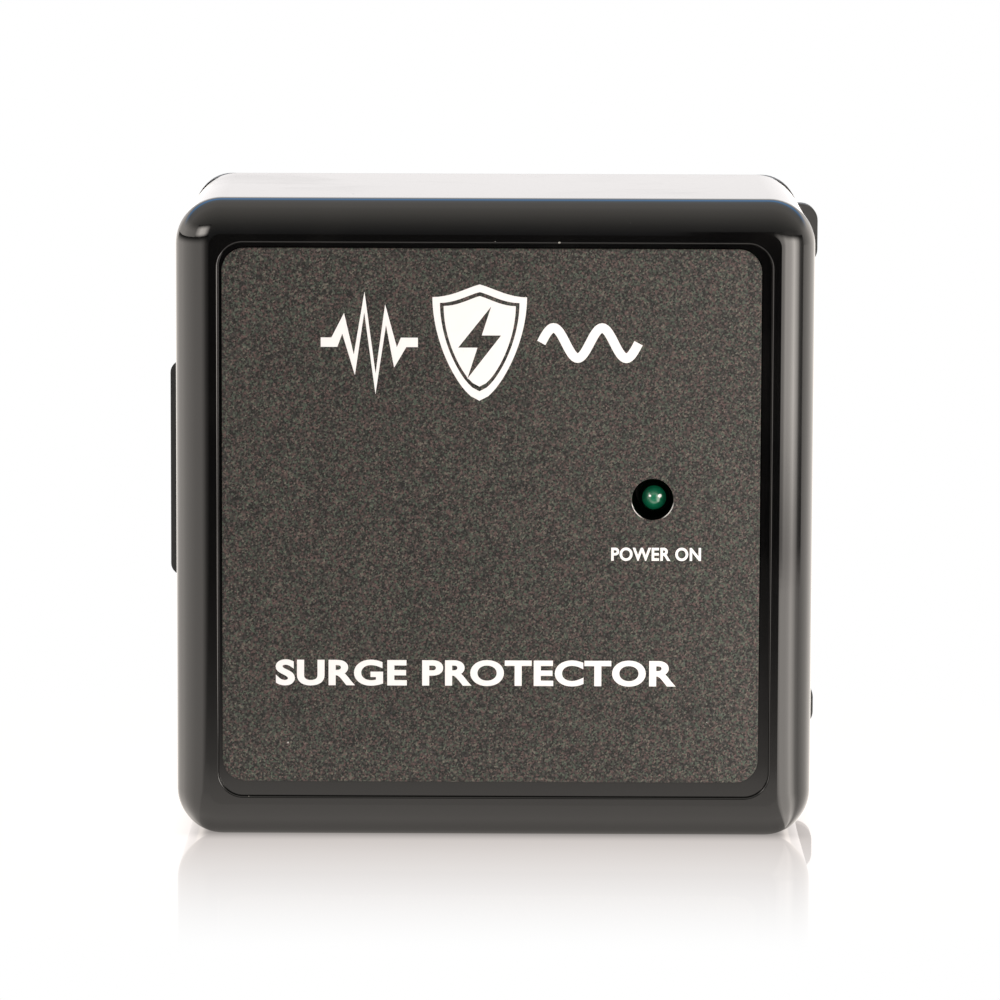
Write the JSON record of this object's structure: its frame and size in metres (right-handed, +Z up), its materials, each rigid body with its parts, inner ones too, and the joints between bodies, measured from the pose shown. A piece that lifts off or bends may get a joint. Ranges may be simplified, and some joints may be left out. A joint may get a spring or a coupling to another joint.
{
  "type": "plug-in surge protection module",
  "caption": "Square black plug-in surge protection module with a rounded rim, a recessed dark label, an indicator lamp, rear plug blades, fixed hook lugs and a sprung side latch.",
  "frame": {"origin": "middle of the rear seating face, which is the back side of the rear base", "axes": "+Y out of the back along the plug blades, so the front with the label faces -Y; +Z up as the module stands; +X to the right seen from the front, towards the fixed hook lugs"},
  "size_m": [0.1088, 0.0775, 0.1024],
  "materials": {
    "gloss_black_case": "high-gloss moulded black",
    "matt_black_base": "fine-textured moulded black",
    "latch_black": "fine-textured moulded black",
    "label_film": "dark grey speckled film",
    "tinned_copper": "tin-plated copper strip",
    "zinc_steel": "zinc plated",
    "spring_steel": "bright drawn wire",
    "clamp_plastic": "glass-filled natural nylon",
    "sheet_film": "vulcanised fibre sheet",
    "circuit_board": "green solder mask",
    "varistor_coating": "blue epoxy coating",
    "solder_leads": "tinned wire",
    "cutoff_case": "plain drawn case",
    "fuse_ceramic": "unglazed white",
    "nickel_caps": "nickel plated",
    "film_capacitor": "yellow moulded box",
    "tube_ceramic": "glazed",
    "tube_caps": "tinned",
    "resistor_coating": "flameproof lacquer",
    "diode_body": "moulded black",
    "connector_nylon": "natural nylon",
    "wire_red": "vinyl insulation",
    "wire_black": "vinyl insulation",
    "lamp_green": "tinted clear green lens",
    "spacer_black": "moulded black"
  },
  "bodies": {
    "module": {"axial_leads": "solder_leads", "base_screws": "zinc_steel", "blade_clamp": "clamp_plastic", "blade_clamp_screws": "zinc_steel", "blade_ground": "tinned_copper", "blade_line_1": "tinned_copper", "blade_line_2": "tinned_copper", "blade_neutral": "tinned_copper", "capacitor_leads": "solder_leads", "capacitor_line_1": "film_capacitor", "capacitor_line_2": "film_capacitor", "connector_header": "connector_nylon", "connector_pins": "solder_leads", "connector_plug": "connector_nylon", "discharge_resistors": "resistor_coating", "dropper_resistor": "resistor_coating", "front_housing": "gloss_black_case", "front_label": "label_film", "fuse_caps": "nickel_caps", "fuse_clips": "nickel_caps", "fuse_tubes": "fuse_ceramic", "gas_tube": "tube_ceramic", "gas_tube_caps": "tube_caps", "indicator_board": "circuit_board", "indicator_board_screws": "zinc_steel", "indicator_diode": "diode_body", "indicator_leads": "solder_leads", "indicator_lens": "lamp_green", "indicator_resistor": "resistor_coating", "indicator_spacer": "spacer_black", "indicator_wire_live": "wire_red", "indicator_wire_return": "wire_black", "insulating_sheet": "sheet_film", "latch_cover": "matt_black_base", "latch_cover_screws": "zinc_steel", "latch_spring_lower": "spring_steel", "latch_spring_upper": "spring_steel", "main_board": "circuit_board", "main_board_screws": "zinc_steel", "rear_base": "matt_black_base", "rectifier_diode": "diode_body", "thermal_cutoff_line_1": "cutoff_case", "thermal_cutoff_line_2": "cutoff_case", "varistor_1": "varistor_coating", "varistor_2": "varistor_coating", "varistor_3": "varistor_coating", "varistor_4": "varistor_coating", "varistor_5": "varistor_coating", "varistor_6": "varistor_coating", "varistor_7": "varistor_coating", "varistor_8": "varistor_coating", "varistor_leads": "solder_leads"},
    "latch": {"release_latch": "latch_black"}
  },
  "joints": [
    {"name": "latch_slide", "type": "slide", "parent": "module", "child": "latch", "axis": [1, 0, 0], "range_m": [0, 0.004], "stiffness_N_per_m": 600, "springref_m": -0.006, "deforming": ["latch_spring_upper", "latch_spring_lower"]}
  ]
}
